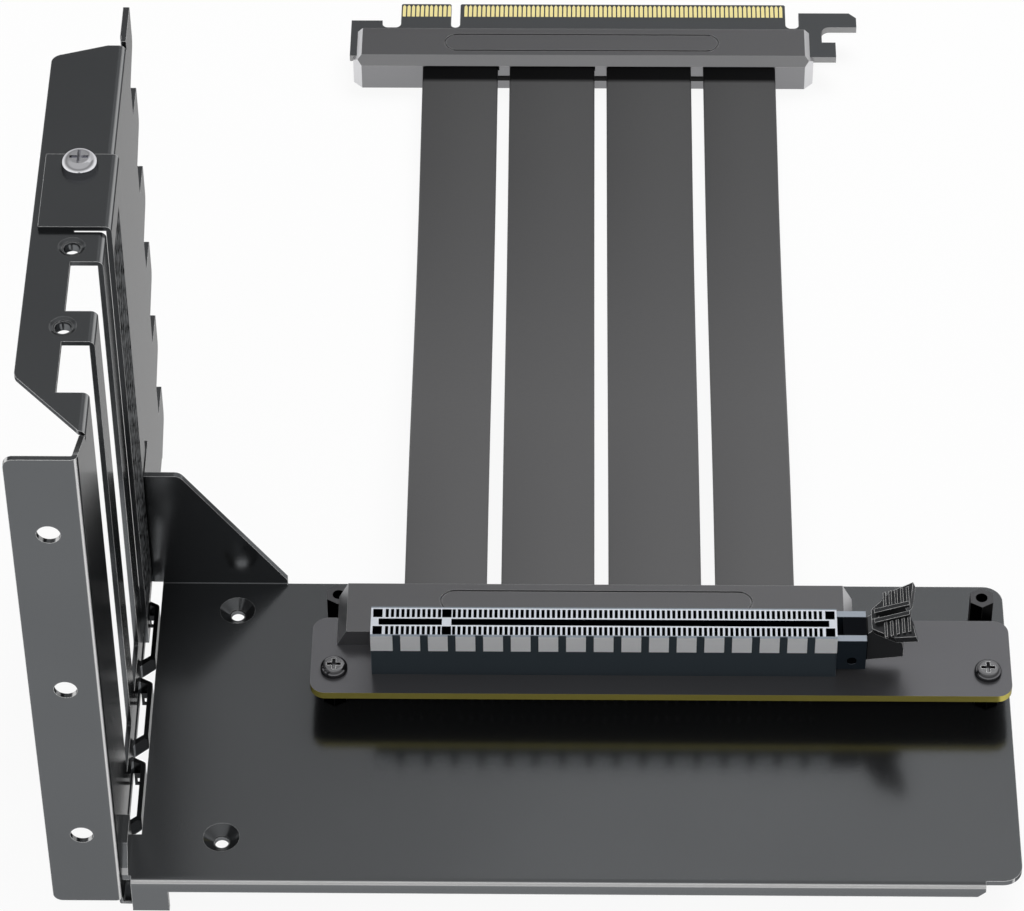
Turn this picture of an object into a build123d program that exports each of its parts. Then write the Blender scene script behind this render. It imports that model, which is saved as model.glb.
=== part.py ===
from build123d import *
import math
import os

# Vertical graphics card bracket: a folded slot plate, a folded base, a riser board with a long
# card slot, and a flat four-ribbon cable that ends in an edge-card plug. All sizes in mm.

# Sheets
plate_t = 1.0
base_t = 1.2
bend_in = 0.25

# Slot plate
plate_top = 108.3
plate_foot = -5.0
plate_far = 116.0
flange_depth = 13.55
front_depth = 12.95
front_top = 114.1
front_corner = 1.8
front_hole_r = 2.1
front_hole_pitch = 40.64
front_hole_first = 14.2
front_hole_in = 6.35
top_near_bend = 12.65
top_near_edge = 26.1
top_far_bend = 113.5
top_far_edge = 110.3
top_far_start = 3.3
top_corner = 2.2
relief = 1.1

# Card windows and their screw holes, on the slot pitch
slot_pitch = 20.32
window_first = 22.0
window_w = 12.6
window_in = 5.85
window_sill = 5.8
window_corner = 1.0
window_count = 3
card_screw_y = 38.5
card_screw_in = 5.9
card_screw_r = 1.85
card_sink_r = 2.45
card_sink = 0.4

# Tongues at the far edge and lanced catches at the foot
tongue_reach = 8.4
tongue_h = 8.7
tongue_round = 2.5
tongue_root_h = 12.4
tongue_count = 6
tongue_joggle = 0.2
catch_first = 13.6
catch_len = 17.6
catch_h = 3.5
catch_out = 2.7
catch_t = 0.9
catch_near_slope = 2.4
catch_far_slope = 1.5
catch_round = 0.8
lug_drop = 2.6
lug_hole_w = 0.9
lug_hole_h = 1.5
lug_from = 0.3
lug_to = 2.3
catch_count = 3

# Base
base_gap = 3.05
base_right = 168.65
base_near = 0.4
base_corner = 3.8
lip_drop = 2.9
lip_right = 161.7
lip_cut = 1.45
foot_drop = 8.4
foot_left = 1.7
foot_w = 6.9
ear_near = 1.9
ear_far = 12.0
ear_h = 5.8
ear_slope = 3.2
dimple_x = 18.15
dimple_near = 11.42
dimple_pitch = 57.65
dimple_r = 3.45
dimple_hole_r = 1.6
dimple_depth = 1.5
dimple_skirt = 1.7

# Gusset folded up from the base
gusset_y = 76.35
gusset_h = 30.4
gusset_top_w = 7.9
gusset_foot = 27.7
gusset_toe = 1.0
gusset_corner = 2.0
gusset_flange = 9.7
gusset_clear = 0.3
gusset_screw_in = 5.2
gusset_screw_z = 22.0
gusset_screw_r = 1.45
gusset_head_r = 2.7
gusset_head_h = 1.8

# Slot cover over the last window, and its screw
cover_plate_t = 1.0
blank_in = 0.3
blank_w = 19.4
blank_tab = 12.3
blank_foot = 1.2
blank_low_w = 12.8
blank_low_h = 31.5
blank_tongue_w = 4.0
blank_tongue_h = 4.0
mesh_in = 0.55
mesh_cols = 5
mesh_pitch_y = 2.55
mesh_pitch_z = 5.08
mesh_hole_w = 1.5
mesh_hole_h = 3.4
mesh_rows = 19
mesh_low = 4.5
blank_screw_r = 1.7
blank_head_r = 3.35
blank_head_h = 2.3
blank_screw_l = 3.5

# Riser board, its posts and screws
board_left = 33.8
board_right = 168.4
board_near = 40.6
board_far = 60.0
board_t = 1.6
board_corner = 3.0
post_h = 6.5
post_flats = 4.4
post_bore_r = 1.15
post_bore_h = 5.5
post_thread = 3.85
post_shank_r = 1.7
post_inset = 4.5
post_y = 46.75
post_pitch_y = 20.8
board_hole_r = 1.45
board_head_r = 2.6
board_head_h = 1.5
fit_gap = 0.05
cross_w = 0.7
cross_share = 0.52
cross_depth_share = 0.6
crown_share = 0.7

# Card slot on the board
slot_left = 45.6
slot_end = 3.1
slot_w = 7.7
slot_near = 45.05
slot_h = 11.25
card_gap = 1.6
card_depth = 7.9
card_gap_in = 1.5
key_step = 2.8
cell_pitch = 1.0
cell_w = 0.6
cell_l = 2.1
cell_depth = 8.4
cells_short = 11
cells_long = 71
cell_inset = 0.6
pocket_in = 0.4
pocket_w = 1.8
pocket_depth = 2.0
bay_pitch = 5.27
bay_w = 1.5
bay_h = 4.1
bay_out = 0.4
bay_count = 16
contact_t = 0.3
contact_l = 0.6
contact_low = 3.0
pin_r = 0.25
pin_drop = 1.2

# Latch of the slot, on a pivot between two cheeks
cheek_len = 5.6
cheek_t = 1.5
cheek_drop = 0.6
cheek_rise = 2.65
latch_pivot_in = 2.9
latch_pivot_z = 5.0
latch_bore_r = 0.97
latch_pin_r = 0.9
latch_side_gap = 0.2
latch_body_r = 1.7
latch_lever = 9.9
latch_lever_low = 0.55
latch_wing_in = 0.9
latch_wing_z = 7.6
latch_wing_t = 1.5
latch_wing_tilt = 20
latch_wing_len = 8.6
latch_wing_half = 7.0
latch_wing_root = 2.4
latch_notch = 1.5
spine_w = 1.0
spine_h = 0.8
rib_first = 2.9
rib_inner = 2.0
rib_outer = 5.7
rib_count = 5
rib_pitch = 1.15
rib_w = 0.55
rib_h = 0.5

# Cable cover at the board
cover_left = 40.5
cover_past_slot = 1.9
cover_far = 65.5
cover_h = 3.9
cover_draft = 1.9
cover_below = 2.7
cover_side_gap = 0.2
badge_from = 17.9
badge_len = 60.6
badge_w = 5.7
badge_in = 1.6
badge_line = 0.4
badge_depth = 0.3
plug_badge_from = 20.1
plug_badge_in = 2.9

# Ribbon cable, its route in the plane across the ribbons
ribbon_t = 0.9
ribbon_edges = ((50.9, 67.0), (69.9, 88.1), (91.0, 109.1), (111.9, 127.3))
ribbon_mouth = 3.0
ribbon_lift = 0.5
ribbon_bend_share = 0.45
mouth_gap = 0.15

# Plug at the cable's far end
plug_near = 232.9
plug_left = 34.75
plug_right = 136.2
plug_deep = 10.4
plug_chamfer = 1.9
plug_slope = 1.6
plug_low_h = 6.4
plug_up_h = 1.95
plug_board_from = 2.5
plug_board_rise = 0.8
finger_edge = 252.8
finger_left = 45.0
finger_right = 130.3
finger_first = 45.65
finger_long_first = 59.35
finger_w = 0.7
finger_l = 3.9
finger_tip = 0.6
finger_back = 0.35
finger_t = 0.05
card_left = 34.0
card_tab_right = 40.9
card_tab_far = 247.2
card_notch_far = 244.9
card_notch_r = 1.2
card_key_r = 0.95
card_nick = 0.3
card_key_left = 56.1
card_key_right = 58.1
hook_left = 133.25
hook_right = 146.0
hook_far = 250.1
hook_cut = 1.6
hook_low = 245.4
hook_slot = 138.2
hook_slot_near = 240.3
hook_round = 1.9
hook_tab = 141.2

# Datums: where the plate's inner face, the front flange's face and the base's top lie, so that
# the origin is below the middle of the bracket, on the surface it stands on
datum_x = flange_depth - (flange_depth + base_right) / 2
datum_y = -(plate_far + tongue_reach) / 2
datum_z = foot_drop
plate_bend = bend_in + plate_t
base_bend = bend_in + base_t
board_z = post_h
board_top = board_z + board_t
slot_mid = slot_near + slot_w / 2
plug_floor = -foot_drop
plug_split = plug_floor + plug_low_h
ribbon_end = plug_near + plug_board_from
ribbon_start = cover_far - ribbon_mouth
post_xs = (board_left + post_inset, board_right - post_inset)


def flat(z):
    return Plane(origin=(datum_x, datum_y, datum_z + z), x_dir=(1, 0, 0), z_dir=(0, 0, 1))


def side(x):
    return Plane(origin=(datum_x + x, datum_y, datum_z), x_dir=(0, 1, 0), z_dir=(1, 0, 0))


def front(y):
    return Plane(origin=(datum_x, datum_y + y, datum_z), x_dir=(1, 0, 0), z_dir=(0, -1, 0))


def outline(*points):
    Polygon(*points, align=None)


def corners(sketch, *points):
    near = []
    for vertex in sketch.vertices():
        if min(math.dist((vertex.X, vertex.Y), point) for point in points) < 0.01:
            near.append(vertex)
    return near


def bends(part, along, x=None, y=None, z=None):
    found = []
    for edge in part.edges().filter_by(along):
        middle = edge.center()
        pairs = ((x, middle.X - datum_x), (y, middle.Y - datum_y), (z, middle.Z - datum_z))
        if all(want is None or abs(want - have) < 0.01 for want, have in pairs):
            found.append(edge)
    return found


def save(part, name):
    part.label = name
    export_step(part, "parts/" + name + ".step")


def pan_screw(plane, x, y, head_r, head_h, shank_r, shank_l):
    with BuildPart() as screw:
        with BuildSketch(plane):
            with Locations((x, y)):
                Circle(head_r)
        extrude(amount=head_h)
        crown = screw.faces().sort_by(Axis(plane.origin, plane.z_dir))[-1]
        fillet(crown.edges(), head_h * crown_share)
        with BuildSketch(plane):
            with Locations((x, y)):
                Circle(shank_r)
        extrude(amount=-shank_l)
        with BuildSketch(plane.offset(head_h)):
            with Locations((x, y)):
                Rectangle(2 * head_r * cross_share, cross_w)
                Rectangle(cross_w, 2 * head_r * cross_share)
        extrude(amount=-head_h * cross_depth_share, mode=Mode.SUBTRACT)
    return screw.part


os.makedirs("parts", exist_ok=True)

# Slot plate: one folded sheet with the front flange, the top flange, the windows for three
# cards, the tongues at the far edge and the lanced catches at the foot
relief_y = top_near_bend - relief
relief_z = plate_top - plate_bend - relief / 2
top_mid = (top_near_bend + top_far_bend) / 2
sink_angle = math.degrees(math.atan((card_sink_r - card_screw_r) / card_sink))
with BuildPart() as bracket_plate:
    with BuildSketch(side(-plate_t)):
        outline(
            (0, plate_foot),
            (0, front_top),
            (plate_bend, front_top),
            (relief_y, plate_top),
            (relief_y, relief_z),
            (top_near_bend, relief_z),
            (top_near_bend, plate_top),
            (top_far_bend, plate_top),
            (top_far_bend, relief_z),
            (top_far_bend + relief, relief_z),
            (top_far_bend + relief, plate_top),
            (plate_far, plate_top),
            (plate_far, plate_foot),
        )
    extrude(amount=plate_t)
    with BuildSketch(front(0)) as front_flange:
        outline(
            (0, plate_foot),
            (-front_depth, plate_foot),
            (-front_depth, front_top),
            (0, front_top),
        )
        fillet(
            corners(front_flange, (-front_depth, plate_foot), (-front_depth, front_top)),
            front_corner,
        )
    extrude(amount=-plate_t)
    with BuildSketch(flat(plate_top - plate_t)) as top_flange:
        outline(
            (0, top_near_bend),
            (-plate_bend, top_near_bend),
            (-flange_depth, top_near_edge),
            (-flange_depth, top_far_edge),
            (-top_far_start, top_far_bend),
            (0, top_far_bend),
        )
        fillet(
            corners(top_flange, (-flange_depth, top_near_edge), (-flange_depth, top_far_edge)),
            top_corner,
        )
    extrude(amount=plate_t)
    fillet(bends(bracket_plate, Axis.Z, x=0, y=0), plate_bend)
    fillet(bends(bracket_plate, Axis.Z, x=-plate_t, y=plate_t), bend_in)
    fillet(bends(bracket_plate, Axis.Y, x=0, y=top_mid, z=plate_top), plate_bend)

    # Windows: each runs up the plate, round the bend and into the top flange
    with BuildSketch(side(-window_in)) as windows:
        for index in range(window_count):
            near = window_first + index * slot_pitch
            outline(
                (near, window_sill),
                (near + window_w, window_sill),
                (near + window_w, plate_top + plate_t),
                (near, plate_top + plate_t),
            )
        sills = windows.vertices().group_by(Axis.Y)[0]
        fillet(sills, window_corner)
    extrude(amount=window_in + plate_t, mode=Mode.SUBTRACT)

    # Holes: card screws in the top flange, case screws in the front flange, the gusset's screw
    for index in range(window_count):
        screw_y = card_screw_y + index * slot_pitch
        with BuildSketch(flat(plate_top)):
            with Locations((-card_screw_in, screw_y)):
                Circle(card_screw_r)
        extrude(amount=-plate_t, mode=Mode.SUBTRACT)
        with BuildSketch(flat(plate_top)):
            with Locations((-card_screw_in, screw_y)):
                Circle(card_sink_r)
        extrude(amount=-card_sink, taper=sink_angle, mode=Mode.SUBTRACT)
    with BuildSketch(front(0)):
        with Locations(*[
            (-front_hole_in, front_hole_first + index * front_hole_pitch) for index in range(3)
        ]):
            Circle(front_hole_r)
    extrude(amount=-plate_t, mode=Mode.SUBTRACT)
    with BuildSketch(side(0)):
        with Locations((gusset_y + gusset_screw_in, gusset_screw_z)):
            Circle(gusset_screw_r + fit_gap)
    extrude(amount=-plate_t, mode=Mode.SUBTRACT)

    # Lanced catches: a strip of the foot pushed out of each opening, for a card's own tongue
    for index in range(catch_count):
        near = catch_first + index * slot_pitch
        far = near + catch_len
        with BuildSketch(side(-plate_t)):
            outline(
                (near + plate_t, -catch_h),
                (far - plate_t, -catch_h),
                (far - plate_t, 0),
                (near + plate_t, 0),
            )
        extrude(amount=plate_t, mode=Mode.SUBTRACT)
        inner_out = catch_out - catch_t
        near_arm = near + catch_near_slope
        far_arm = far - catch_far_slope
        with BuildSketch(flat(-catch_h)) as strip:
            outline(
                (-plate_t, near),
                (0, near),
                (catch_out, near_arm),
                (catch_out, far_arm),
                (0, far),
                (-plate_t, far),
                (-plate_t, far - plate_t),
                (-plate_t / 2, far - plate_t),
                (inner_out, far_arm - catch_t / 2),
                (inner_out, near_arm + catch_t / 2),
                (-plate_t / 2, near + plate_t),
                (-plate_t, near + plate_t),
            )
            fillet(corners(strip, (catch_out, near_arm), (catch_out, far_arm)), catch_round)
        extrude(amount=catch_h)

        # Lug below the strip's far arm, with a square hole
        with BuildSketch(flat(-catch_h - lug_drop)):
            outline(
                (lug_from, far_arm - catch_t / 2),
                (lug_to, far_arm - catch_t / 2),
                (lug_to, far_arm),
                (lug_from, far_arm),
            )
        extrude(amount=lug_drop + catch_t)
        with BuildSketch(front(far_arm)):
            with Locations(((lug_from + lug_to) / 2, -catch_h - lug_drop / 2)):
                Rectangle(lug_hole_w, lug_hole_h)
        extrude(amount=catch_t, mode=Mode.SUBTRACT)

    # Tongues: thickened on the outer side by a shallow step, so that they bear on the case
    for index in range(tongue_count):
        top = plate_top - index * slot_pitch
        tip = (plate_far + tongue_reach, top - tongue_h)
        with BuildSketch(side(-plate_t - tongue_joggle)) as tongue:
            outline(
                (plate_far, top),
                (plate_far + tongue_reach, top),
                tip,
                (plate_far, top - tongue_root_h),
            )
            fillet(corners(tongue, tip), tongue_round)
        extrude(amount=plate_t + tongue_joggle)
save(bracket_plate.part, "bracket_plate")

# Slot cover: a blank that hangs over the top flange and closes the last window with a mesh
blank_near = window_first + (window_count - 1) * slot_pitch + blank_in
blank_far = blank_near + blank_w
blank_low_far = blank_near + blank_low_w
cover_bend = bend_in + cover_plate_t
last_screw_y = card_screw_y + (window_count - 1) * slot_pitch
mesh_near = blank_near + mesh_in
with BuildPart() as slot_cover:
    with BuildSketch(side(0)):
        outline(
            (blank_near, blank_foot),
            (blank_near, plate_top + cover_plate_t),
            (blank_far, plate_top + cover_plate_t),
            (blank_far, blank_low_h),
            (blank_low_far, blank_low_h),
            (blank_low_far, blank_foot),
            (blank_near + blank_tongue_w, blank_foot),
            (blank_near + blank_tongue_w, blank_foot - blank_tongue_h),
            (blank_near, blank_foot - blank_tongue_h),
        )
    extrude(amount=cover_plate_t)
    with BuildSketch(flat(plate_top)) as blank_tab_face:
        outline(
            (cover_plate_t, blank_near),
            (-blank_tab, blank_near),
            (-blank_tab, blank_far),
            (cover_plate_t, blank_far),
        )
        fillet(corners(blank_tab_face, (-blank_tab, blank_near), (-blank_tab, blank_far)), bend_in)
    extrude(amount=cover_plate_t)
    fillet(bends(slot_cover, Axis.Y, x=cover_plate_t, z=plate_top + cover_plate_t), cover_bend)
    with BuildSketch(flat(plate_top)):
        with Locations((-card_screw_in, last_screw_y)):
            Circle(card_screw_r)
        with Locations((-card_screw_in, (last_screw_y + blank_far) / 2 + plate_t)):
            Rectangle(2 * card_screw_r, blank_far - last_screw_y + 2 * plate_t)
    extrude(amount=cover_plate_t, mode=Mode.SUBTRACT)
    with BuildSketch(side(0)):
        for column in range(mesh_cols):
            shift = mesh_pitch_z / 2 * (column % 2)
            for row in range(mesh_rows):
                y = mesh_near + column * mesh_pitch_y
                z = mesh_low + shift + row * mesh_pitch_z
                outline(
                    (y, z),
                    (y + mesh_hole_w, z + mesh_hole_w / 2),
                    (y + mesh_hole_w, z + mesh_hole_h),
                    (y, z + mesh_hole_h - mesh_hole_w / 2),
                )
    extrude(amount=cover_plate_t, mode=Mode.SUBTRACT)
save(slot_cover.part, "slot_cover")

cover_screw = pan_screw(
    flat(plate_top + cover_plate_t),
    -card_screw_in,
    last_screw_y,
    blank_head_r,
    blank_head_h,
    blank_screw_r,
    blank_screw_l,
)
save(cover_screw, "slot_cover_screw")

# Base: one folded sheet with the front lip and its foot, the ear against the slot plate, two
# sunk screw holes, and the gusset with its own flange against the slot plate
gusset_far = gusset_y + base_t
free_near = base_near + base_bend
with BuildPart() as base_plate:
    with BuildSketch(flat(-base_t)) as base_face:
        outline(
            (foot_left, base_near),
            (lip_right, base_near),
            (lip_right, free_near),
            (base_right, free_near),
            (base_right, gusset_y),
            (gusset_foot, gusset_y),
            (gusset_foot, gusset_far),
            (base_gap, gusset_far),
            (base_gap, ear_far),
            (0, ear_far),
            (0, ear_near),
            (foot_left, ear_near),
        )
        fillet(corners(base_face, (base_right, free_near), (base_right, gusset_y)), base_corner)
    extrude(amount=base_t)
    with BuildSketch(front(base_near)):
        outline(
            (foot_left, 0),
            (foot_left, -foot_drop),
            (foot_left + foot_w, -foot_drop),
            (foot_left + foot_w, -lip_drop),
            (lip_right - lip_cut, -lip_drop),
            (lip_right, -lip_drop + lip_cut),
            (lip_right, 0),
        )
    extrude(amount=-base_t)
    with BuildSketch(side(0)):
        outline(
            (ear_near, -base_t),
            (ear_near, bend_in),
            (ear_near + ear_slope, ear_h),
            (ear_far, ear_h),
            (ear_far, -base_t),
        )
    extrude(amount=base_t)
    with BuildSketch(front(gusset_y)) as gusset_face:
        outline(
            (0, gusset_clear),
            (0, gusset_h),
            (gusset_top_w, gusset_h),
            (gusset_foot, gusset_toe),
            (gusset_foot, -base_t),
            (base_gap, -base_t),
            (base_gap, gusset_clear),
        )
        fillet(corners(gusset_face, (gusset_top_w, gusset_h)), gusset_corner)
    extrude(amount=-base_t)
    with BuildSketch(side(0)):
        outline(
            (gusset_y, gusset_clear),
            (gusset_y, gusset_h),
            (gusset_y + gusset_flange, gusset_h),
            (gusset_y + gusset_flange, gusset_clear),
        )
    extrude(amount=base_t)
    fillet(bends(base_plate, Axis.X, y=base_near, z=0), base_bend)
    fillet(bends(base_plate, Axis.Z, x=0, y=gusset_y), base_bend)
    fillet(bends(base_plate, Axis.X, y=gusset_y, z=0)[0:1], bend_in)
    with BuildSketch(side(0)):
        with Locations((gusset_y + gusset_screw_in, gusset_screw_z)):
            Circle(gusset_screw_r + fit_gap)
    extrude(amount=base_t, mode=Mode.SUBTRACT)

    # Sunk holes: the sheet is pressed down into a cone round each
    for index in range(2):
        center = (dimple_x, dimple_near + index * dimple_pitch)
        with BuildSketch(flat(0)):
            with Locations(center):
                Circle(dimple_r)
        extrude(amount=-base_t, mode=Mode.SUBTRACT)
        with BuildSketch(front(center[1])):
            outline(
                (center[0] + dimple_r, 0),
                (center[0] + dimple_hole_r, -dimple_depth),
                (center[0] + dimple_hole_r, -dimple_depth - base_t),
                (center[0] + dimple_r, -dimple_skirt),
            )
        revolve(axis=Axis((datum_x + center[0], datum_y + center[1], 0), (0, 0, 1)))

    # Holes that the four posts are pressed into
    with BuildSketch(flat(0)):
        with Locations(*[
            (x, post_y + row * post_pitch_y) for x in post_xs for row in range(2)
        ]):
            Circle(post_shank_r + fit_gap)
    extrude(amount=-base_t, mode=Mode.SUBTRACT)
save(base_plate.part, "base_plate")

gusset_screw = pan_screw(
    side(base_t),
    gusset_y + gusset_screw_in,
    gusset_screw_z,
    gusset_head_r,
    gusset_head_h,
    gusset_screw_r,
    base_t + plate_t,
)
save(gusset_screw, "gusset_screw")

# Posts: hexagonal, pressed into the base, with a thread from the top. Two carry the board and
# two stand free, for the board's other place one slot further back
for column, x in enumerate(post_xs):
    for row in range(2):
        y = post_y + row * post_pitch_y
        with BuildPart() as post:
            with BuildSketch(flat(0)):
                with Locations((x, y)):
                    RegularPolygon(post_flats / 2, 6, major_radius=False, rotation=30)
            extrude(amount=post_h)
            with BuildSketch(flat(0)):
                with Locations((x, y)):
                    Circle(post_shank_r)
            extrude(amount=-base_t)
            with BuildSketch(flat(post_h)):
                with Locations((x, y)):
                    Circle(post_bore_r)
            extrude(amount=-post_bore_h, mode=Mode.SUBTRACT)
        save(post.part, ("near" if row == 0 else "far") + "_post_" + ("left", "right")[column])

# Riser board
with BuildPart() as riser_board:
    with BuildSketch(flat(board_z)) as board_face:
        outline(
            (board_left, board_near),
            (board_right, board_near),
            (board_right, board_far),
            (board_left, board_far),
        )
        fillet(board_face.vertices(), board_corner)
        with Locations(*[(x, post_y) for x in post_xs]):
            Circle(board_hole_r, mode=Mode.SUBTRACT)
    extrude(amount=board_t)
save(riser_board.part, "riser_board")

for column, x in enumerate(post_xs):
    board_screw = pan_screw(
        flat(board_top),
        x,
        post_y,
        board_head_r,
        board_head_h,
        post_bore_r - fit_gap,
        board_t + post_thread,
    )
    save(board_screw, "board_screw_" + ("left", "right")[column])

# Card slot: a long block with a keyed gap for the card's edge, a row of contact cells along
# each side of it, a row of bays down the near wall and two cheeks for the latch
slot_top = board_top + slot_h
slot_face = slot_near + bay_out
short_end = slot_left + slot_end + (cells_short - 1) * cell_pitch
cells = [short_end - index * cell_pitch for index in range(cells_short)]
cells += [short_end + key_step + index * cell_pitch for index in range(cells_long)]
slot_right = cells[-1] + slot_end
cell_rows = (slot_near + cell_inset + cell_l / 2, slot_near + slot_w - cell_inset - cell_l / 2)
pockets = (
    slot_left + pocket_in + pocket_w / 2,
    short_end + key_step / 2,
    slot_right - pocket_in - pocket_w / 2,
)
bay_from = (slot_left + slot_right - (bay_count - 1) * bay_pitch) / 2
bays = [bay_from + index * bay_pitch for index in range(bay_count)]
cheek_top = slot_top - cheek_drop
cheek_foot = board_top + cheek_rise
pivot_x = slot_right + latch_pivot_in
pivot_z = board_top + latch_pivot_z
with BuildPart() as slot_housing:
    with BuildSketch(flat(board_top)):
        outline(
            (slot_left, slot_face),
            (slot_right, slot_face),
            (slot_right, slot_near + slot_w),
            (slot_left, slot_near + slot_w),
        )
    extrude(amount=slot_h)
    with BuildSketch(flat(slot_top - bay_h)):
        outline(
            (slot_left, slot_near),
            (slot_right, slot_near),
            (slot_right, slot_face),
            (slot_left, slot_face),
        )
        with Locations(*[(x, slot_near) for x in bays]):
            Rectangle(bay_w, 2 * bay_out, mode=Mode.SUBTRACT)
    extrude(amount=bay_h)
    with BuildSketch(flat(slot_top)):
        outline(
            (slot_left + card_gap_in, slot_mid - card_gap / 2),
            (slot_right - card_gap_in, slot_mid - card_gap / 2),
            (slot_right - card_gap_in, slot_mid + card_gap / 2),
            (slot_left + card_gap_in, slot_mid + card_gap / 2),
        )
        with Locations((short_end + key_step / 2, slot_mid)):
            Rectangle(pocket_w, card_gap, mode=Mode.SUBTRACT)
    extrude(amount=-card_depth, mode=Mode.SUBTRACT)
    with BuildSketch(flat(slot_top)):
        with Locations(*[(x, y) for x in cells for y in cell_rows]):
            Rectangle(cell_w, cell_l)
    extrude(amount=-cell_depth, mode=Mode.SUBTRACT)
    with BuildSketch(flat(slot_top)):
        with Locations(*[(x, y) for x in pockets for y in cell_rows]):
            Rectangle(pocket_w, cell_l)
    extrude(amount=-pocket_depth, mode=Mode.SUBTRACT)
    with BuildSketch(flat(cheek_foot)):
        for y in (slot_near + cheek_t / 2, slot_near + slot_w - cheek_t / 2):
            with Locations((slot_right + cheek_len / 2, y)):
                Rectangle(cheek_len, cheek_t)
    extrude(amount=cheek_top - cheek_foot)
    with BuildSketch(front(slot_near)):
        with Locations((pivot_x, pivot_z)):
            Circle(latch_bore_r)
    extrude(amount=-slot_w, mode=Mode.SUBTRACT)
save(slot_housing.part, "slot_housing")

with BuildPart() as slot_contacts:
    with BuildSketch(flat(slot_top - cell_depth)):
        with Locations(*[(x, y) for x in cells for y in cell_rows]):
            Rectangle(contact_t, contact_l)
    extrude(amount=cell_depth - contact_low)
save(slot_contacts.part, "slot_contacts")

with BuildPart() as slot_pins:
    with BuildSketch(flat(board_z)):
        with Locations(*[(x, y) for x in cells[::2] for y in cell_rows]):
            Rectangle(2 * pin_r, 2 * pin_r)
    extrude(amount=-pin_drop)
save(slot_pins.part, "slot_pins")

# Latch: a lever between the cheeks, with two ribbed wings for finger and thumb
body_half = slot_w / 2 - cheek_t - latch_side_gap
wing_x = slot_right + cheek_len + latch_wing_in
wing_plane = Plane(
    origin=(datum_x + wing_x, datum_y + slot_mid, datum_z + pivot_z + latch_wing_z),
    x_dir=(1, 0, 0),
    z_dir=(0, 0, 1),
).rotated((0, -latch_wing_tilt, 0))
with BuildPart() as slot_latch:
    with BuildSketch(front(slot_mid)):
        with Locations((pivot_x, pivot_z)):
            Circle(latch_body_r)
        outline(
            (pivot_x - latch_body_r, pivot_z),
            (pivot_x - latch_body_r, cheek_top),
            (wing_x - latch_wing_in, cheek_top),
            (wing_x + spine_w, pivot_z + latch_wing_z),
            (wing_x + latch_lever / 2, pivot_z + latch_wing_z),
            (pivot_x + latch_lever, pivot_z + latch_body_r),
            (pivot_x + latch_lever, pivot_z - latch_lever_low),
            (pivot_x + latch_body_r, pivot_z - latch_body_r),
            (pivot_x, pivot_z - latch_body_r),
        )
    extrude(amount=body_half, both=True)
    with BuildSketch(wing_plane):
        for turn in (1, -1):
            outline(
                (0, turn * fit_gap),
                (0, turn * latch_wing_root),
                (latch_wing_len / 2, turn * (latch_wing_half - spine_w)),
                (latch_wing_len, turn * latch_wing_half),
                (latch_wing_len - spine_h, turn * rib_inner),
                (latch_wing_len - latch_wing_root, turn * fit_gap),
            )
    extrude(amount=-latch_wing_t)
    with BuildSketch(wing_plane):
        with Locations((latch_wing_len / 2 + latch_notch, 0)):
            Rectangle(latch_wing_len, latch_notch)
    extrude(amount=-latch_wing_t, mode=Mode.SUBTRACT)
    with BuildSketch(wing_plane):
        for turn in (1, -1):
            with Locations((latch_wing_len / 2, turn * (latch_notch + spine_w) / 2)):
                Rectangle(latch_wing_len - 2 * spine_h, spine_w)
    extrude(amount=spine_h)
    with BuildSketch(wing_plane):
        for index in range(rib_count):
            for turn in (1, -1):
                with Locations((rib_first + index * rib_pitch, turn * (rib_inner + rib_outer) / 2)):
                    Rectangle(rib_w, rib_outer - rib_inner)
    extrude(amount=rib_h)
    with BuildSketch(front(slot_mid)):
        with Locations((pivot_x, pivot_z)):
            Circle(latch_pin_r)
    extrude(amount=slot_w / 2, both=True)
save(slot_latch.part, "slot_latch")

# Cable cover: two moulded halves, above and below the board's far edge, round the ribbons
cover_near = slot_near + slot_w + cover_side_gap
cover_top = board_top + cover_h
cover_right = slot_right + cover_past_slot
badge_left = cover_left + badge_from
badge_y = cover_far - badge_in - badge_w / 2


def groove(left, middle):
    with Locations((left + badge_len / 2, middle)):
        SlotOverall(badge_len, badge_w)
        SlotOverall(badge_len - 2 * badge_line, badge_w - 2 * badge_line, mode=Mode.SUBTRACT)


with BuildPart() as cable_cover_upper:
    with BuildSketch(front(cover_near)):
        outline(
            (cover_left - cover_draft, board_top),
            (cover_left, cover_top),
            (cover_right, cover_top),
            (cover_right + cover_draft, board_top),
        )
    extrude(amount=cover_near - cover_far)
    with BuildSketch(flat(board_top)):
        for left, right in ribbon_edges:
            outline(
                (left - fit_gap, ribbon_start),
                (right + fit_gap, ribbon_start),
                (right + fit_gap, cover_far),
                (left - fit_gap, cover_far),
            )
    extrude(amount=ribbon_lift + ribbon_t / 2 + fit_gap, mode=Mode.SUBTRACT)
    with BuildSketch(flat(cover_top)):
        groove(badge_left, badge_y)
    extrude(amount=-badge_depth, mode=Mode.SUBTRACT)
save(cable_cover_upper.part, "cable_cover_upper")

with BuildPart() as cable_cover_lower:
    with BuildSketch(side(cover_left)):
        outline(
            (cover_near, board_z),
            (cover_near, board_z - cover_below),
            (cover_far, board_z - cover_below),
            (cover_far, board_top),
            (board_far, board_top),
            (board_far, board_z),
        )
    extrude(amount=cover_right - cover_left)
save(cable_cover_lower.part, "cable_cover_lower")

# Ribbons: four flat cables side by side on one route, from the cover's mouth to the plug
route = [
    (ribbon_start + fit_gap, board_top + ribbon_lift),
    (83.5, 8.5),
    (108.5, 6.3),
    (136.0, 1.6),
    (163.5, -2.2),
    (189.5, -3.7),
    (213.0, -2.7),
    (ribbon_end - fit_gap, plug_split - ribbon_t / 2 - mouth_gap),
]


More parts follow.
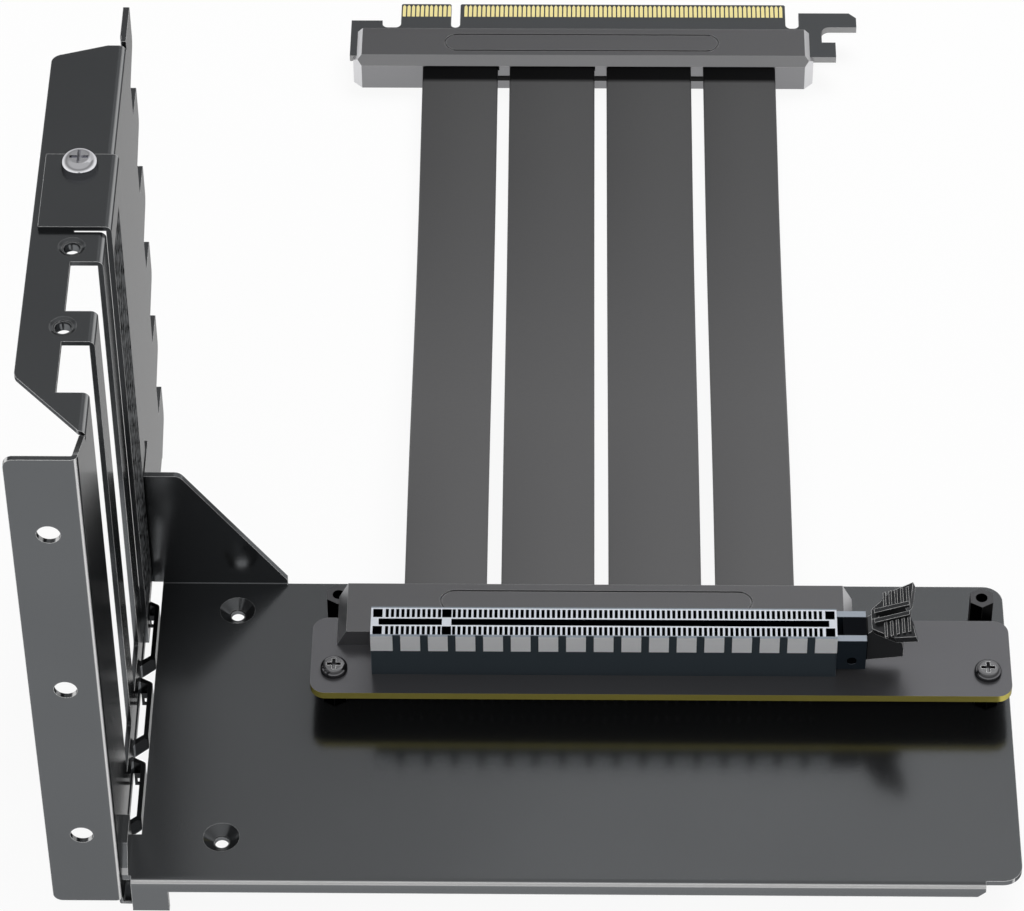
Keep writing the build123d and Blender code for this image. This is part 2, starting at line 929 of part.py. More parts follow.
def bend_radii(points):
    radii = []
    for before, point, after in zip(points, points[1:], points[2:]):
        run_in = Vector(point[0] - before[0], point[1] - before[1])
        run_out = Vector(after[0] - point[0], after[1] - point[1])
        half_turn = math.radians(run_in.get_angle(run_out) / 2)
        radii.append(ribbon_bend_share * min(run_in.length, run_out.length) / math.tan(half_turn))
    return radii


radii = bend_radii(route)
print("ribbon bend radii", [round(radius, 1) for radius in radii])
for index, (left, right) in enumerate(ribbon_edges):
    with BuildPart() as ribbon:
        with BuildLine(side((left + right) / 2)) as ribbon_route:
            FilletPolyline(*route, radius=radii)
        path = ribbon_route.wire()
        with BuildSketch(Plane(path @ 0, x_dir=(1, 0, 0), z_dir=path % 0)):
            Rectangle(right - left, ribbon_t)
        sweep(path=path)
    section = (right - left) * ribbon_t
    print("ribbon", index + 1, "volume over section", round(ribbon.part.volume / section, 2))
    print("   route length", round(path.length, 2))
    save(ribbon.part, "ribbon_" + str(index + 1))

# Plug board: the edge card, with its finger edge, keys and retention hook
plug_board_top = plug_split + plug_board_rise
plug_board_near = ribbon_end
with BuildPart() as plug_board:
    with BuildSketch(flat(plug_board_top - board_t)) as plug_face:
        outline(
            (card_left, plug_board_near),
            (card_left, card_tab_far),
            (card_tab_right, card_tab_far),
            (card_tab_right, card_notch_far),
            (finger_left, card_notch_far),
            (finger_left, finger_edge),
            (card_key_left, finger_edge),
            (card_key_left, card_notch_far),
            (card_key_right, card_notch_far),
            (card_key_right, finger_edge),
            (finger_right, finger_edge),
            (finger_right, card_notch_far),
            (hook_left, card_notch_far),
            (hook_left, hook_far),
            (hook_right - hook_cut, hook_far),
            (hook_right, hook_far - hook_cut),
            (hook_right, hook_low),
            (hook_slot, hook_low),
            (hook_slot, hook_slot_near),
            (hook_tab, hook_slot_near),
            (hook_tab, plug_board_near),
        )
        fillet(corners(plug_face, (hook_slot, hook_low)), hook_round)
        notches = [(x, card_notch_far) for x in (card_tab_right, finger_left, finger_right, hook_left)]
        fillet(corners(plug_face, *notches), card_notch_r)
        key = [(x, card_notch_far) for x in (card_key_left, card_key_right)]
        fillet(corners(plug_face, *key), card_key_r)
        ends = (finger_left, card_key_left, card_key_right, finger_right)
        chamfer(corners(plug_face, *[(x, finger_edge) for x in ends]), card_nick)
    extrude(amount=board_t)
save(plug_board.part, "plug_board")

fingers = [finger_first + index * cell_pitch for index in range(cells_short)]
fingers += [finger_long_first + index * cell_pitch for index in range(cells_long)]
finger_top = finger_edge - finger_back
finger_foot = finger_top - finger_l
finger_shoulder = finger_top - finger_tip
with BuildPart() as plug_contacts:
    for z, rise in ((plug_board_top, finger_t), (plug_board_top - board_t, -finger_t)):
        with BuildSketch(flat(z)):
            for x in fingers:
                outline(
                    (x - finger_w / 2, finger_foot),
                    (x + finger_w / 2, finger_foot),
                    (x + finger_w / 2, finger_shoulder),
                    (x, finger_top),
                    (x - finger_w / 2, finger_shoulder),
                )
        extrude(amount=rise)
save(plug_contacts.part, "plug_contacts")

# Plug shells: two moulded halves that close round the plug board and the ribbons
plug_far = plug_near + plug_deep


def shell_outline():
    outline(
        (plug_left + plug_chamfer, plug_near),
        (plug_right - plug_chamfer, plug_near),
        (plug_right, plug_near + plug_chamfer),
        (plug_right, plug_far),
        (plug_left, plug_far),
        (plug_left, plug_near + plug_chamfer),
    )


with BuildPart() as plug_shell_lower:
    with BuildSketch(flat(plug_floor)):
        shell_outline()
    extrude(amount=plug_low_h)
    with BuildSketch(flat(plug_board_top - board_t - fit_gap)):
        outline(
            (card_left, plug_board_near),
            (hook_tab, plug_board_near),
            (hook_tab, plug_far),
            (card_left, plug_far),
        )
    extrude(amount=board_t, mode=Mode.SUBTRACT)
    with BuildSketch(flat(plug_split)):
        for left, right in ribbon_edges:
            outline(
                (left - fit_gap, plug_near),
                (right + fit_gap, plug_near),
                (right + fit_gap, plug_board_near),
                (left - fit_gap, plug_board_near),
            )
    extrude(amount=-ribbon_t - 2 * mouth_gap, mode=Mode.SUBTRACT)
save(plug_shell_lower.part, "plug_shell_lower")

with BuildPart() as plug_shell_upper:
    with BuildSketch(flat(plug_split)):
        shell_outline()
    extrude(amount=plug_up_h)
    shoulders = bends(plug_shell_upper, Axis.Y, z=plug_split + plug_up_h)
    chamfer(shoulders, plug_up_h - fit_gap, plug_chamfer)
    with BuildSketch(side(plug_left)):
        outline(
            (plug_near, plug_split + fit_gap),
            (plug_near + plug_slope, plug_split + plug_up_h),
            (plug_near, plug_split + plug_up_h),
        )
    extrude(amount=plug_right - plug_left, mode=Mode.SUBTRACT)
    with BuildSketch(flat(plug_split)):
        outline(
            (card_left, plug_board_near),
            (hook_tab, plug_board_near),
            (hook_tab, plug_far),
            (card_left, plug_far),
        )
    extrude(amount=plug_board_rise + fit_gap, mode=Mode.SUBTRACT)
    with BuildSketch(flat(plug_split + plug_up_h)):
        groove(plug_left + plug_badge_from, plug_near + plug_badge_in + badge_w / 2)
    extrude(amount=-badge_depth, mode=Mode.SUBTRACT)
save(plug_shell_upper.part, "plug_shell_upper")
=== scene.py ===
import math

import bmesh
import bpy
from mathutils import Matrix, Vector


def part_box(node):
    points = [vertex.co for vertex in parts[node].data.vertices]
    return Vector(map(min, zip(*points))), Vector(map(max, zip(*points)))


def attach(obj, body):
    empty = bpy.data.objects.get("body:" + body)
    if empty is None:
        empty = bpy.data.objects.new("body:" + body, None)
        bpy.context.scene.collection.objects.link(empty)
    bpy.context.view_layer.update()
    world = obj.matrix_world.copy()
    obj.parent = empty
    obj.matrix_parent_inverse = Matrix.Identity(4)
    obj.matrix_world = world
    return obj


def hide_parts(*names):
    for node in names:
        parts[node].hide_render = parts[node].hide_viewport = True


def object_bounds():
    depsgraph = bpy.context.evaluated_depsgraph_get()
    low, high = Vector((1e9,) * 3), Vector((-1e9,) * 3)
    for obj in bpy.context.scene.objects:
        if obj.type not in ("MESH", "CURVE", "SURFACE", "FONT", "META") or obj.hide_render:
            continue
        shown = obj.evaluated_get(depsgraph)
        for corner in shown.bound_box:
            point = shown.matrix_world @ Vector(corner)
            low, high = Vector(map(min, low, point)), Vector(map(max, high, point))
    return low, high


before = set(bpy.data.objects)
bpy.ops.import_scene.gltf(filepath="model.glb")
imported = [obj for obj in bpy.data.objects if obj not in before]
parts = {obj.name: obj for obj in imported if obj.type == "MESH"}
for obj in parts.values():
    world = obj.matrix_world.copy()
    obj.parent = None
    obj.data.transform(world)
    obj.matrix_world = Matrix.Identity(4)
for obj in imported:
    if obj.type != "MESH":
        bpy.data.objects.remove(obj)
cad_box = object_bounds()
mm = 0.001

# Camera: a long lens that looks down at the bracket from the front at 46 degrees. Its place and
# turn were worked out from standard sizes in the picture, such as the slot's contact pitch.
image_width_px = 1024
focal_px = 4886.5
film_width_mm = 36.0
turn_deg = -1.2711
look_down_deg = 45.9885
roll_deg = 0.6422
eye = Vector((9.268, -638.375, 720.743)) * mm
camera_data = bpy.data.cameras.new("camera")
camera_data.sensor_fit = "HORIZONTAL"
camera_data.sensor_width = film_width_mm
camera_data.lens = focal_px / image_width_px * film_width_mm
camera_data.clip_start = 0.01
camera_data.clip_end = 20.0
camera = bpy.data.objects.new("camera", camera_data)
camera.matrix_world = (
    Matrix.Translation(eye)
    @ Matrix.Rotation(math.radians(-turn_deg), 4, "Z")
    @ Matrix.Rotation(math.radians(90 - look_down_deg), 4, "X")
    @ Matrix.Rotation(math.radians(-roll_deg), 4, "Z")
)
bpy.context.collection.objects.link(camera)
bpy.context.scene.camera = camera
bpy.context.scene.view_settings.view_transform = "Standard"


# Studio: a white room and floor. The main soft light stands behind and above the bracket, so that
# the slot shades the board in front of it, and a weaker one over the lens fills the front. The
# third shows only as a gleam in the dark coat, which mirrors a room that is white low down, grey
# on the walls and paler at the ceiling.
room_fill = 0.22
room_walls = 0.27
room_ceiling = 0.48
floor_size = 6.0
floor_shadow = 0.08

# A rise is the upward part of a direction: 0 is level and 1 is straight up.
walls_rise = (0.05, 0.5)
ceiling_rise = (0.62, 0.8)


def linear(code):
    channels = [int(code[start:start + 2], 16) / 255 for start in (1, 3, 5)]
    steps = [c / 12.92 if c <= 0.04045 else ((c + 0.055) / 1.055) ** 2.4 for c in channels]
    return (*steps, 1.0)


def add_node(tree, kind, settings=(), inputs=(), links=()):
    made = tree.nodes.new(kind)
    for name, value in dict(settings).items():
        setattr(made, name, value)
    for name, value in dict(inputs).items():
        made.inputs[name].default_value = value
    for name, source in dict(links).items():
        tree.links.new(source, made.inputs[name])
    return made


def new_paint(name):
    paint = bpy.data.materials.new(name)
    paint.use_nodes = True
    return paint, paint.node_tree, paint.node_tree.nodes["Principled BSDF"]


def white_room():
    world = bpy.data.worlds.new("white_room")
    bpy.context.scene.world = world
    world.use_nodes = True
    tree = world.node_tree
    tree.nodes.clear()
    path = add_node(tree, "ShaderNodeLightPath")
    seen = add_node(tree, "ShaderNodeMath", {"operation": "MAXIMUM"}, links={
        0: path.outputs["Is Camera Ray"], 1: path.outputs["Is Transmission Ray"],
    })
    heading = add_node(tree, "ShaderNodeTexCoord")
    split = add_node(tree, "ShaderNodeSeparateXYZ", links={0: heading.outputs["Generated"]})
    walls = add_node(tree, "ShaderNodeMapRange", inputs={
        "From Min": walls_rise[0], "From Max": walls_rise[1],
        "To Min": 1.0, "To Max": room_walls,
    }, links={"Value": split.outputs["Z"]})
    ceiling = add_node(tree, "ShaderNodeMapRange", inputs={
        "From Min": ceiling_rise[0], "From Max": ceiling_rise[1],
        "To Min": room_walls, "To Max": room_ceiling,
    }, links={"Value": split.outputs["Z"]})
    room = add_node(tree, "ShaderNodeMath", {"operation": "MAXIMUM"}, links={
        0: walls.outputs[0], 1: ceiling.outputs[0],
    })
    fill = add_node(tree, "ShaderNodeMix", {"data_type": "FLOAT"}, {2: room_fill}, {
        0: path.outputs["Is Glossy Ray"], 3: room.outputs[0],
    })
    level = add_node(tree, "ShaderNodeMix", {"data_type": "FLOAT"}, {3: 1.0}, {
        0: seen.outputs[0], 2: fill.outputs[0],
    })
    white = add_node(tree, "ShaderNodeBackground", inputs={"Color": (1, 1, 1, 1)}, links={
        "Strength": level.outputs[0],
    })
    add_node(tree, "ShaderNodeOutputWorld", links={"Surface": white.outputs[0]})


def soft_lamp(name, place, size, watts, shines=True, mirrored=True):
    data = bpy.data.lights.new(name, "AREA")
    data.shape = "RECTANGLE"
    data.size, data.size_y = size
    data.energy = watts
    lamp = bpy.data.objects.new(name, data)
    lamp.location = place
    to_the_bracket = -Vector(place)
    lamp.rotation_euler = to_the_bracket.to_track_quat("-Z", "Y").to_euler()
    lamp.visible_diffuse = shines
    lamp.visible_glossy = mirrored
    bpy.context.collection.objects.link(lamp)


def floor_finish():
    paint, tree, shader = new_paint("matt_white_floor")
    shader.inputs["Base Color"].default_value = linear("#f4f4f4")
    shader.inputs["Roughness"].default_value = 0.9
    shader.inputs["Specular IOR Level"].default_value = 0.0
    path = add_node(tree, "ShaderNodeLightPath")
    seen = add_node(tree, "ShaderNodeMath", {"operation": "MAXIMUM"}, links={
        0: path.outputs["Is Camera Ray"], 1: path.outputs["Is Glossy Ray"],
    })
    share = add_node(tree, "ShaderNodeMath", {"operation": "MULTIPLY"}, {
        1: 1.0 - floor_shadow,
    }, {0: seen.outputs[0]})
    white = add_node(tree, "ShaderNodeEmission", inputs={"Color": (1, 1, 1, 1)})
    mix = add_node(tree, "ShaderNodeMixShader", links={
        0: share.outputs[0], 1: shader.outputs[0], 2: white.outputs[0],
    })
    tree.links.new(mix.outputs[0], tree.nodes["Material Output"].inputs["Surface"])
    return paint


white_room()
soft_lamp("behind", place=(0.2, 0.7, 0.9), size=(0.8, 0.6), watts=9.5, mirrored=False)
soft_lamp("over_the_lens", place=(-0.1, -0.8, 0.95), size=(0.6, 0.3), watts=3.0, mirrored=False)
soft_lamp("behind_right", place=(0.38, 0.78, 0.9), size=(0.8, 0.8), watts=0.5, shines=False)
bpy.ops.object.select_all(action="DESELECT")
bpy.ops.mesh.primitive_plane_add(size=floor_size, location=(0, 0, 0))
floor = bpy.context.object
floor.name = "floor"
floor.data.materials.append(floor_finish())


# Ribbons: four flat screened cables in a smooth PVC jacket with a soft, even sheen, clamped side
# by side between the moulded covers at both ends. Each hangs free in between, on the route of its
# solid, and they fan out a little towards the plug. The jacket carries painted shade, a shade
# lighter at the covers than at the plug, and a painted shadow, black and mirror-dark, in front of
# the plug.
ribbon_route_mm = (
    (0.35, 17.0),
    (21.3, 16.9),
    (46.3, 14.7),
    (73.8, 10.0),
    (101.3, 6.2),
    (127.3, 4.7),
    (150.8, 5.7),
    (173.15, 5.85),
)
jacket_t_mm = 0.9
jacket_round_steps = 4
# Painted shade along the jacket, lighter at the covers and darker at the plug:
jacket_lit_near = "#5b5b5c"
jacket_shaded_far = "#424243"
jacket_painted_shadow = "#1a1a1b"
painted_shadow_mm = 4.5
painted_shadow_fade_mm = 0.6
jacket_grain_mm = 0.8
jacket_relief_mm = 0.02
jacket_rough = (0.42, 0.52)
fan_near_mm = (0.39, 0.25, 0.06, -0.06)
fan_far_mm = (-0.49, -0.35, -0.14, 0.19)
fan_wider_mm = 0.25


def axes(tree, output):
    place = add_node(tree, "ShaderNodeTexCoord")
    return add_node(tree, "ShaderNodeSeparateXYZ", links={0: place.outputs[output]}).outputs


def lay_over(paint, code, where):
    tree = paint.node_tree
    shader = tree.nodes["Principled BSDF"]
    tone = add_node(tree, "ShaderNodeMix", {"data_type": "RGBA"}, {7: linear(code)}, {
        0: where, 6: shader.inputs["Base Color"].links[0].from_socket,
    })
    tree.links.new(tone.outputs[2], shader.inputs["Base Color"])


def jacket_finish():
    paint, tree, shader = new_paint("satin_pvc_jacket")
    place = add_node(tree, "ShaderNodeTexCoord")
    spot = axes(tree, "Object")
    along = add_node(tree, "ShaderNodeMapRange", inputs={
        "From Min": ribbon_route_mm[0][0] * mm, "From Max": ribbon_route_mm[-1][0] * mm,
    }, links={"Value": spot["Y"]})
    tone = add_node(tree, "ShaderNodeMix", {"data_type": "RGBA"}, {
        6: linear(jacket_lit_near), 7: linear(jacket_shaded_far),
    }, {0: along.outputs[0]})
    # A painted shadow in front of the plug, black and mirror-dark.
    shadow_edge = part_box("plug_shell_lower")[0][1] / mm - painted_shadow_mm
    painted_shadow = add_node(tree, "ShaderNodeMapRange", inputs={
        "From Min": (shadow_edge - painted_shadow_fade_mm) * mm,
        "From Max": (shadow_edge + painted_shadow_fade_mm) * mm,
    }, links={"Value": spot["Y"]})
    grain = add_node(tree, "ShaderNodeTexNoise", inputs={
        "Scale": 1 / (jacket_grain_mm * mm), "Detail": 2.0,
    }, links={"Vector": place.outputs["Object"]})
    rough = add_node(tree, "ShaderNodeMapRange", inputs={
        "To Min": jacket_rough[0], "To Max": jacket_rough[1],
    }, links={"Value": grain.outputs["Fac"]})
    bump = add_node(tree, "ShaderNodeBump", inputs={
        "Distance": jacket_relief_mm * mm, "Strength": 0.6,
    }, links={"Height": grain.outputs["Fac"]})
    tree.links.new(tone.outputs[2], shader.inputs["Base Color"])
    lay_over(paint, jacket_painted_shadow, painted_shadow.outputs[0])
    tree.links.new(painted_shadow.outputs[0], shader.inputs["Metallic"])
    tree.links.new(rough.outputs[0], shader.inputs["Roughness"])
    tree.links.new(bump.outputs[0], shader.inputs["Normal"])
    shader.inputs["IOR"].default_value = 1.53
    return paint


def smooth_line(points):
    data = bpy.data.curves.new("route", "CURVE")
    data.dimensions = "3D"
    data.resolution_u = 24
    spline = data.splines.new("NURBS")
    spline.points.add(len(points) - 1)
    for point, place in zip(spline.points, points):
        point.co = (*place, 1.0)
    spline.order_u = 3
    spline.use_endpoint_u = True
    holder = bpy.data.objects.new("route", data)
    mesh = bpy.data.meshes.new_from_object(holder)
    line = [vertex.co.copy() for vertex in mesh.vertices]
    bpy.data.objects.remove(holder)
    bpy.data.curves.remove(data)
    bpy.data.meshes.remove(mesh)
    return line


def ribbon(name, node, jacket, near_shift, far_shift):
    low, high = (Vector(corner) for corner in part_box(node))
    middle_x = (low.x + high.x) / 2
    half = (high.x - low.x) / 2
    first_y = ribbon_route_mm[0][0]
    run = ribbon_route_mm[-1][0] - first_y
    drift = far_shift - near_shift
    line = smooth_line([
        (middle_x + mm * (near_shift + drift * (y - first_y) / run), y * mm, z * mm)
        for y, z in ribbon_route_mm
    ])
    round_r = jacket_t_mm * mm / 2
    section = []
    for step in range(jacket_round_steps + 1):
        angle = -math.pi / 2 + math.pi * step / jacket_round_steps
        section.append((half - round_r + round_r * math.cos(angle), round_r * math.sin(angle)))
    section += [(-across, rise) for across, rise in reversed(section)]
    work = bmesh.new()
    rings = []
    for index, point in enumerate(line):
        ahead = line[min(index + 1, len(line) - 1)] - line[max(index - 1, 0)]
        ahead.normalize()
        up = Vector((1, 0, 0)).cross(ahead)
        spread = 1 + fan_wider_mm * mm / half * index / len(line)
        rings.append([
            work.verts.new(point + Vector((across * spread, 0, 0)) + up * rise)
            for across, rise in section
        ])
    for first, second in zip(rings, rings[1:]):
        for index in range(len(section)):
            after = (index + 1) % len(section)
            work.faces.new((first[index], first[after], second[after], second[index]))
    work.faces.new(list(reversed(rings[0])))
    work.faces.new(rings[-1])
    bmesh.ops.recalc_face_normals(work, faces=work.faces)
    mesh = bpy.data.meshes.new(name)
    work.to_mesh(mesh)
    work.free()
    for face in mesh.polygons:
        face.use_smooth = True
    strip = bpy.data.objects.new(name, mesh)
    bpy.context.collection.objects.link(strip)
    mesh.materials.append(jacket)
    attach(strip, "bracket")
    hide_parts(node)


jacket = jacket_finish()
for number, (near_mm, far_mm) in enumerate(zip(fan_near_mm, fan_far_mm), start=1):
    ribbon("ribbon_strip_" + str(number), "ribbon_" + str(number), jacket, near_mm, far_mm)


# Base: steel sheet, blanked, bent and powder coated a satin graphite black that mirrors the room
# softly. Fine bright lines along its cut edges and bends are painted highlights; along the bends
# they are painted at the front, and faintly at the top of the slot cover.
edge_turn = (0.98, 0.85)
edge_open = (0.8, 0.95)
fold_slant = (0.9, 0.82)
fold_straight = 0.03
fold_reach_mm = 2.6
top_fold_share = 0.3
cloud_mm = 30.0
cloud_swing = 0.06
gloss_swing = 0.04
grain_relief_mm = 0.006
faces_up = 0.9
flat_angle_glint = "#909090"


# An edge is where the rounded normal turns away from the true one and open air lies around it.
# Each finish paints its edge colour there as a highlight.
def sharp_edges(tree, radius_mm):
    place = add_node(tree, "ShaderNodeNewGeometry")
    rounded = add_node(tree, "ShaderNodeBevel", {"samples": 6}, {"Radius": radius_mm * mm})
    agree = add_node(tree, "ShaderNodeVectorMath", {"operation": "DOT_PRODUCT"}, links={
        0: rounded.outputs[0], 1: place.outputs["True Normal"],
    })
    turned = add_node(tree, "ShaderNodeMapRange", inputs={
        "From Min": edge_turn[0], "From Max": edge_turn[1],
    }, links={"Value": agree.outputs["Value"]})
    open_air = add_node(tree, "ShaderNodeAmbientOcclusion", {"samples": 4}, {
        "Distance": 3 * radius_mm * mm,
    })
    outer = add_node(tree, "ShaderNodeMapRange", inputs={
        "From Min": edge_open[0], "From Max": edge_open[1],
    }, links={"Value": open_air.outputs["AO"]})
    return add_node(tree, "ShaderNodeMath", {"operation": "MULTIPLY"}, links={
        0: turned.outputs[0], 1: outer.outputs[0],
    }).outputs[0]


# A bend runs along one axis, so its normal is slanted and has no part along that axis. Bends
# found so, at the front and at the cover's top, are painted with a highlight.
def painted_fold_highlights(tree):
    sizes = [
        add_node(tree, "ShaderNodeMath", {"operation": "ABSOLUTE"}, links={0: part}).outputs[0]
        for part in axes(tree, "Normal")
    ]
    largest = smallest = sizes[0]
    for size in sizes[1:]:
        largest = add_node(tree, "ShaderNodeMath", {"operation": "MAXIMUM"}, links={
            0: largest, 1: size,
        }).outputs[0]
        smallest = add_node(tree, "ShaderNodeMath", {"operation": "MINIMUM"}, links={
            0: smallest, 1: size,
        }).outputs[0]
    slanted = add_node(tree, "ShaderNodeMapRange", inputs={
        "From Min": fold_slant[0], "From Max": fold_slant[1],
    }, links={"Value": largest})
    rolled = add_node(tree, "ShaderNodeMath", {"operation": "LESS_THAN"}, {
        1: fold_straight,
    }, {0: smallest})
    fold = add_node(tree, "ShaderNodeMath", {"operation": "MULTIPLY"}, links={
        0: slanted.outputs[0], 1: rolled.outputs[0],
    })
    spot = axes(tree, "Object")
    cover_high = Vector(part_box("slot_cover")[1])
    front = add_node(tree, "ShaderNodeMath", {"operation": "LESS_THAN"}, {
        1: cad_box[0][1] + fold_reach_mm * mm,
    }, {0: spot["Y"]})
    above = add_node(tree, "ShaderNodeMath", {"operation": "GREATER_THAN"}, {
        1: cover_high.z - fold_reach_mm * mm,
    }, {0: spot["Z"]})
    right = add_node(tree, "ShaderNodeMath", {"operation": "GREATER_THAN"}, {
        1: cover_high.x - fold_reach_mm * mm,
    }, {0: spot["X"]})
    top = add_node(tree, "ShaderNodeMath", {"operation": "MULTIPLY"}, links={
        0: above.outputs[0], 1: right.outputs[0],
    })
    faint = add_node(tree, "ShaderNodeMath", {"operation": "MULTIPLY"}, {
        1: top_fold_share,
    }, {0: top.outputs[0]})
    where = add_node(tree, "ShaderNodeMath", {"operation": "MAXIMUM"}, links={
        0: front.outputs[0], 1: faint.outputs[0],
    })
    return add_node(tree, "ShaderNodeMath", {"operation": "MULTIPLY"}, links={
        0: fold.outputs[0], 1: where.outputs[0],
    }).outputs[0]


# A finish paints its edge colour along edges, and if asked along bends, as a painted highlight. A
# top colour, where given, paints the faces that look up as painted light or shade.
def finish(name, body, edge, rough, metal, grain_mm, edge_mm, highlight_folds=False, top=None):
    paint, tree, shader = new_paint(name)
    place = add_node(tree, "ShaderNodeTexCoord")
    grain = add_node(tree, "ShaderNodeTexNoise", inputs={
        "Scale": 1 / (grain_mm * mm), "Detail": 2.0,
    }, links={"Vector": place.outputs["Object"]})
    clouds = add_node(tree, "ShaderNodeTexNoise", inputs={
        "Scale": 1 / (cloud_mm * mm),
    }, links={"Vector": place.outputs["Object"]})
    shade = add_node(tree, "ShaderNodeMapRange", inputs={
        "To Min": 1 - cloud_swing, "To Max": 1 + cloud_swing,
    }, links={"Value": clouds.outputs["Fac"]})
    tone = add_node(tree, "ShaderNodeVectorMath", {"operation": "SCALE"}, {
        0: linear(body)[:3],
    }, {"Scale": shade.outputs[0]}).outputs[0]
    if top:
        upward = add_node(tree, "ShaderNodeMath", {"operation": "GREATER_THAN"}, {
            1: faces_up,
        }, {0: axes(tree, "Normal")["Z"]})
        tone = add_node(tree, "ShaderNodeMix", {"data_type": "VECTOR"}, {
            5: linear(top)[:3],
        }, {0: upward.outputs[0], 4: tone}).outputs[1]
    painted_highlight = sharp_edges(tree, edge_mm)
    if highlight_folds:
        painted_highlight = add_node(tree, "ShaderNodeMath", {"operation": "MAXIMUM"}, links={
            0: painted_highlight, 1: painted_fold_highlights(tree),
        }).outputs[0]
    highlighted = add_node(tree, "ShaderNodeMix", {"data_type": "RGBA"}, {7: linear(edge)}, {
        0: painted_highlight, 6: tone,
    })
    highlight_metal = add_node(tree, "ShaderNodeMapRange", inputs={
        "To Min": metal, "To Max": metal / 2,
    }, links={"Value": painted_highlight})
    gloss = add_node(tree, "ShaderNodeMapRange", inputs={
        "To Min": rough - gloss_swing, "To Max": rough + gloss_swing,
    }, links={"Value": grain.outputs["Fac"]})
    bump = add_node(tree, "ShaderNodeBump", inputs={"Distance": grain_relief_mm * mm}, links={
        "Height": grain.outputs["Fac"],
    })
    tree.links.new(highlighted.outputs[2], shader.inputs["Base Color"])
    tree.links.new(gloss.outputs[0], shader.inputs["Roughness"])
    tree.links.new(bump.outputs[0], shader.inputs["Normal"])
    tree.links.new(highlight_metal.outputs[0], shader.inputs["Metallic"])
    shader.inputs["Specular Tint"].default_value = linear(flat_angle_glint)
    return paint


# The powder coat paints highlights along its edges and bends.
def powder_coat(name, body):
    return finish(
        name, body, "#f0f0f0", rough=0.18, metal=0.92, grain_mm=0.5, edge_mm=0.2, highlight_folds=True
    )


def wear(paint, *names):
    for name in names:
        node = parts[name]
        node.data.materials.clear()
        node.data.materials.append(paint)


coat = powder_coat("graphite_powder_coat", "#6e7072")
wear(coat, "base_plate")


# Slot plate: the same coated sheet, with painted shade: its coat is painted darker than the
# base's, and its three catches, pressed out of its foot, are painted darker still, as the plate's
# shade.
catch_from_mm = 0.3


def paint_shade(paint, code, output, axis, limit, above=True):
    tree = paint.node_tree
    where = add_node(tree, "ShaderNodeMath", {
        "operation": "GREATER_THAN" if above else "LESS_THAN",
    }, {1: limit}, {0: axes(tree, output)[axis]})
    lay_over(paint, code, where.outputs[0])
    return paint


plate_coat = powder_coat("plate_coat", "#66686a")
# Painted shade on the catches.
catch_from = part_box("base_plate")[0][0] + catch_from_mm * mm
wear(paint_shade(plate_coat, "#2c2d2e", "Object", "X", catch_from), "bracket_plate")


# Slot cover: the same coated sheet, in the plate's darker painted copy of the coat, with a mesh
# pressed through it. The strip between the holes is broken up by the press and is dull, with
# paler ridges between hollows that are painted near black as shade.
mesh_low_mm = (0.9, 12.0)
mesh_high_mm = (13.4, 111.0)
press_mm = 1.3
press_hollow = (0.8, 0.25)
mesh_rough = 0.85
mesh_metal = 0.0


def mesh_finish():
    paint = powder_coat("coated_mesh", "#66686a")
    tree = paint.node_tree
    shader = tree.nodes["Principled BSDF"]
    place = add_node(tree, "ShaderNodeTexCoord")
    spot = axes(tree, "Object")
    across, along = (
        add_node(tree, "ShaderNodeMath", {"operation": "COMPARE"}, {
            1: (low + high) / 2 * mm, 2: (high - low) / 2 * mm,
        }, {0: spot[axis]})
        for axis, low, high in zip("YZ", mesh_low_mm, mesh_high_mm)
    )
    strip = add_node(tree, "ShaderNodeMath", {"operation": "MULTIPLY"}, links={
        0: across.outputs[0], 1: along.outputs[0],
    })
    pressed = add_node(tree, "ShaderNodeTexVoronoi", inputs={
        "Scale": 1 / (press_mm * mm),
    }, links={"Vector": place.outputs["Object"]})
    hollow = add_node(tree, "ShaderNodeMapRange", inputs={
        "From Min": press_hollow[0], "From Max": press_hollow[1],
    }, links={"Value": pressed.outputs["Distance"]})
    painted_shade_hollows = add_node(tree, "ShaderNodeMath", {"operation": "MULTIPLY"}, links={
        0: strip.outputs[0], 1: hollow.outputs[0],
    })
    # Painted shade in the pressed hollows.
    lay_over(paint, "#6c6e70", strip.outputs[0])
    lay_over(paint, "#060607", painted_shade_hollows.outputs[0])
    for name, value in (("Roughness", mesh_rough), ("Metallic", mesh_metal)):
        dull = add_node(tree, "ShaderNodeMix", {"data_type": "FLOAT"}, {3: value}, {
            0: strip.outputs[0], 2: shader.inputs[name].links[0].from_socket,
        })
        tree.links.new(dull.outputs[0], shader.inputs[name])
    return paint


wear(mesh_finish(), "slot_cover")


# Threads: a collar drawn down from the sheet in each open screw hole, of the plate's top flange
# and of the base, tapped for its screw and coated with the sheet. Places are counted from the
# slot plate's inner face, the front flange's face and the base's top.
foot_drop_mm = 8.4
card_hole_mm = (-5.9, 38.5, 107.9)
card_hole_pitch_mm = 20.32
card_collar_mm = (1.84, 0.35, 2.2)
base_hole_mm = (18.15, 11.42, -1.55)
base_hole_pitch_mm = 57.65
base_collar_mm = (1.59, 0.3, 1.0)
collar_round_mm = 0.12
smooth_angle = math.radians(40)
datum = Vector((
    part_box("base_plate")[0][0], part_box("bracket_plate")[0][1], foot_drop_mm * mm
))


